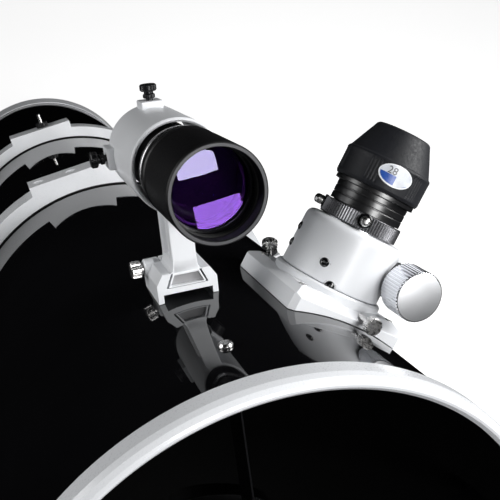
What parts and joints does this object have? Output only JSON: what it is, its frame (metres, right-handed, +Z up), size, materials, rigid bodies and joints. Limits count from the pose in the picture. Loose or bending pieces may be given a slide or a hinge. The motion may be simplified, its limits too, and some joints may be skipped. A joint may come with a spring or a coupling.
{
  "type": "dobsonian telescope",
  "caption": "Gloss black Newtonian tube with a finder scope and a side focuser, clamped in hinged white rings on a low white rocker box that swivels.",
  "frame": {"origin": "middle of the bounding box, on the floor the feet stand on", "axes": "+Z up; the tube is raised towards -Y, so its mouth faces -Y and +Z and the mirror end lies towards +Y; +X is the altitude axis, to the right seen from the mouth end"},
  "size_m": [0.66, 1.348, 1.436],
  "materials": {
    "white_laminate": "white melamine faced board",
    "white_coated_metal": "white powder coat",
    "black_gloss": "gloss black paint",
    "black_metal": "black anodised",
    "black_plastic": "moulded",
    "black_rubber": "matt",
    "white_nylon": "smooth",
    "silver_metal": "turned, clear anodised",
    "bright_screw": "bright nickel",
    "cast_metal": "as cast",
    "mirror_coating": "aluminised glass",
    "coated_glass": "purple anti-reflection coating"
  },
  "bodies": {
    "base": {"ground_board": "white_laminate", "foot_1": "black_rubber", "foot_2": "black_rubber", "foot_3": "black_rubber", "azimuth_bearing": "white_nylon", "azimuth_bolt": "black_plastic"},
    "rocker": {"rocker_floor": "white_laminate", "rocker_side_left": "white_laminate", "rocker_side_right": "white_laminate", "bearing_saddle_left": "white_nylon", "bearing_saddle_right": "white_nylon", "rocker_front_board": "white_laminate", "carry_handle": "black_plastic"},
    "cradle": {"tube_ring_front_lower": "white_coated_metal", "tube_ring_rear_lower": "white_coated_metal", "trunnion_plate_left": "white_coated_metal", "trunnion_plate_right": "white_coated_metal", "altitude_bearing_left": "black_plastic", "altitude_bearing_right": "black_plastic"},
    "altitude_tension_left": {"altitude_knob_left": "black_plastic"},
    "altitude_tension_right": {"altitude_knob_right": "black_plastic"},
    "front_ring_lid": {"tube_ring_front_upper": "white_coated_metal"},
    "rear_ring_lid": {"tube_ring_rear_upper": "white_coated_metal", "piggyback_stud": "black_metal"},
    "front_clamp": {"ring_clamp_knob_front": "black_plastic"},
    "rear_clamp": {"ring_clamp_knob_rear": "black_plastic"},
    "optical_tube": {"tube": "black_gloss", "front_ring": "white_coated_metal", "rear_ring": "white_coated_metal", "mirror_cell": "cast_metal", "primary_mirror": "mirror_coating", "spider": "black_metal", "finder_shoe": "white_coated_metal", "focuser_base": "white_coated_metal"},
    "secondary": {"secondary_holder": "black_plastic", "secondary_mirror": "mirror_coating"},
    "collimation_1": {"collimation_knob_1": "black_plastic"},
    "collimation_2": {"collimation_knob_2": "black_plastic"},
    "collimation_3": {"collimation_knob_3": "black_plastic"},
    "shoe_screw": {"shoe_thumbscrew": "bright_screw"},
    "bracket": {"finder_bracket": "white_coated_metal"},
    "adjuster_1": {"finder_adjuster_1": "black_metal"},
    "adjuster_2": {"finder_adjuster_2": "black_metal"},
    "plunger": {"finder_spring_plunger": "black_metal"},
    "finder": {"finder_tube": "black_metal"},
    "finder_front": {"finder_objective_cell": "black_gloss", "finder_lens": "coated_glass"},
    "finder_eye": {"finder_eyepiece": "black_rubber"},
    "lock_rear": {"focuser_lock_screw_rear": "bright_screw"},
    "lock_front": {"focuser_lock_screw_front": "bright_screw"},
    "focuser": {"focuser_housing": "white_coated_metal"},
    "coarse": {"focus_shaft": "silver_metal"},
    "fine": {"fine_focus_knob": "black_metal"},
    "draw": {"drawtube": "silver_metal", "compression_collar": "black_metal"},
    "collar_screw_1": {"collar_thumbscrew_1": "bright_screw"},
    "collar_screw_2": {"collar_thumbscrew_2": "bright_screw"},
    "eyepiece": {"eyepiece_body": "black_gloss", "eyepiece_lens": "coated_glass", "eyecup": "black_rubber"}
  },
  "joints": [
    {"name": "azimuth", "type": "hinge", "parent": "base", "child": "rocker", "pos_m": [0, 0.0926, 0.05], "axis": [0, 0, 1], "continuous": true},
    {"name": "altitude", "type": "hinge", "parent": "rocker", "child": "cradle", "pos_m": [0, 0.0926, 0.75], "axis": [-1, 0, 0], "range_deg": [-36.6, 53.4]},
    {"name": "altitude_tension_left_turn", "type": "hinge", "parent": "cradle", "child": "altitude_tension_left", "pos_m": [-0.256, 0.0926, 0.75], "axis": [-1, 0, 0], "range_deg": [-90, 720]},
    {"name": "altitude_tension_right_turn", "type": "hinge", "parent": "cradle", "child": "altitude_tension_right", "pos_m": [0.256, 0.0926, 0.75], "axis": [1, 0, 0], "range_deg": [-90, 720]},
    {"name": "front_ring_open", "type": "hinge", "parent": "cradle", "child": "front_ring_lid", "pos_m": [-0.206, -0.12849, 0.9142], "axis": [0, -0.8028, 0.5962], "range_deg": [0, 90]},
    {"name": "rear_ring_open", "type": "hinge", "parent": "cradle", "child": "rear_ring_lid", "pos_m": [-0.206, 0.15891, 0.70075], "axis": [0, -0.8028, 0.5962], "range_deg": [0, 28]},
    {"name": "front_clamp_turn", "type": "hinge", "parent": "front_ring_lid", "child": "front_clamp", "pos_m": [0.207, -0.11657, 0.93026], "axis": [0, 0.5962, 0.8028], "range_deg": [0, 1440]},
    {"name": "rear_clamp_turn", "type": "hinge", "parent": "rear_ring_lid", "child": "rear_clamp", "pos_m": [0.207, 0.17084, 0.71681], "axis": [0, 0.5962, 0.8028], "range_deg": [0, 1440]},
    {"name": "tube_turn", "type": "hinge", "parent": "cradle", "child": "optical_tube", "pos_m": [0, 0.0926, 0.75], "axis": [0, 0.8028, -0.5962], "continuous": true},
    {"name": "secondary_turn", "type": "hinge", "parent": "optical_tube", "child": "secondary", "pos_m": [0, -0.43485, 1.14172], "axis": [0, 0.8028, -0.5962], "continuous": true},
    {"name": "collimation_1_turn", "type": "hinge", "parent": "optical_tube", "child": "collimation_1", "pos_m": [0.0213, 0.63546, 0.4914], "axis": [0, 0.8028, -0.5962], "range_deg": [-720, 720]},
    {"name": "collimation_2_turn", "type": "hinge", "parent": "optical_tube", "child": "collimation_2", "pos_m": [0.08986, 0.52067, 0.33683], "axis": [0, 0.8028, -0.5962], "range_deg": [-720, 720]},
    {"name": "collimation_3_turn", "type": "hinge", "parent": "optical_tube", "child": "collimation_3", "pos_m": [-0.11116, 0.54266, 0.36645], "axis": [0, 0.8028, -0.5962], "range_deg": [-720, 720]},
    {"name": "bracket_slide", "type": "slide", "parent": "optical_tube", "child": "bracket", "axis": [0, -0.8028, 0.5962], "range_m": [0, 0.072]},
    {"name": "shoe_screw_turn", "type": "hinge", "parent": "optical_tube", "child": "shoe_screw", "pos_m": [0.00287, -0.2994, 1.28552], "axis": [-0.9836, 0.1076, 0.1449], "range_deg": [0, 1080]},
    {"name": "adjuster_1_turn", "type": "hinge", "parent": "bracket", "child": "adjuster_1", "pos_m": [0.05627, -0.2043, 1.35655], "axis": [0.1805, 0.5864, 0.7896], "range_deg": [-449, 449]},
    {"name": "adjuster_2_turn", "type": "hinge", "parent": "bracket", "child": "adjuster_2", "pos_m": [0.00389, -0.22584, 1.32754], "axis": [-0.9836, 0.1076, 0.1449], "range_deg": [-440, 440]},
    {"name": "plunger_slide", "type": "slide", "parent": "bracket", "child": "plunger", "axis": [0.5678, -0.4908, -0.6608], "range_m": [0, 0.003], "stiffness_N_per_m": 400, "springref_m": -0.004},
    {"name": "finder_tilt", "type": "hinge", "parent": "bracket", "child": "finder", "pos_m": [0.04815, -0.28046, 1.35799], "axis": [0.9836, -0.1076, -0.1449], "range_deg": [-1, 1]},
    {"name": "finder_objective_turn", "type": "hinge", "parent": "finder", "child": "finder_front", "pos_m": [0.04815, -0.32863, 1.39376], "axis": [0, 0.8028, -0.5962], "range_deg": [-720, 720]},
    {"name": "finder_eyepiece_turn", "type": "hinge", "parent": "finder", "child": "finder_eye", "pos_m": [0.04815, -0.19215, 1.2924], "axis": [0, 0.8028, -0.5962], "range_deg": [-360, 360]},
    {"name": "focuser_turn", "type": "hinge", "parent": "optical_tube", "child": "focuser", "pos_m": [0.14854, -0.34217, 1.26651], "axis": [0.6909, 0.4311, 0.5804], "range_deg": [-150, 30]},
    {"name": "lock_rear_turn", "type": "hinge", "parent": "optical_tube", "child": "lock_rear", "pos_m": [0.11338, -0.29246, 1.23785], "axis": [0.4885, 0.8725, -0.0112], "range_deg": [0, 1080]},
    {"name": "lock_front_turn", "type": "hinge", "parent": "optical_tube", "child": "lock_front", "pos_m": [0.13401, -0.40952, 1.28316], "axis": [0, -0.8028, 0.5962], "range_deg": [0, 1080]},
    {"name": "coarse_focus", "type": "hinge", "parent": "focuser", "child": "coarse", "pos_m": [0.17488, -0.35594, 1.24797], "axis": [0, 0.8028, -0.5962], "range_deg": [0, 446]},
    {"name": "fine_focus", "type": "hinge", "parent": "focuser", "child": "fine", "pos_m": [0.17488, -0.30135, 1.20742], "axis": [0, 0.8028, -0.5962], "range_deg": [0, 4460]},
    {"name": "drawtube_slide", "type": "slide", "parent": "focuser", "child": "draw", "axis": [0.6909, 0.4311, 0.5804], "range_m": [0, 0.035]},
    {"name": "collar_screw_1_turn", "type": "hinge", "parent": "draw", "child": "collar_screw_1", "pos_m": [0.15985, -0.3474, 1.31241], "axis": [-0.3124, -0.546, 0.7774], "range_deg": [0, 1080]},
    {"name": "collar_screw_2_turn", "type": "hinge", "parent": "draw", "child": "collar_screw_2", "pos_m": [0.14797, -0.30315, 1.29369], "axis": [-0.652, 0.7184, 0.2426], "range_deg": [0, 1080]},
    {"name": "eyepiece_pull", "type": "slide", "parent": "draw", "child": "eyepiece", "axis": [0.6909, 0.4311, 0.5804], "range_m": [0, 0.06]}
  ],
  "couplings": [
    {"joint": "coarse_focus", "follows": "drawtube_slide", "rad_per_m": 222.22},
    {"joint": "fine_focus", "follows": "drawtube_slide", "rad_per_m": 2222.2},
    {"joint": "adjuster_1_turn", "follows": "finder_tilt", "ratio": 448.43}
  ]
}
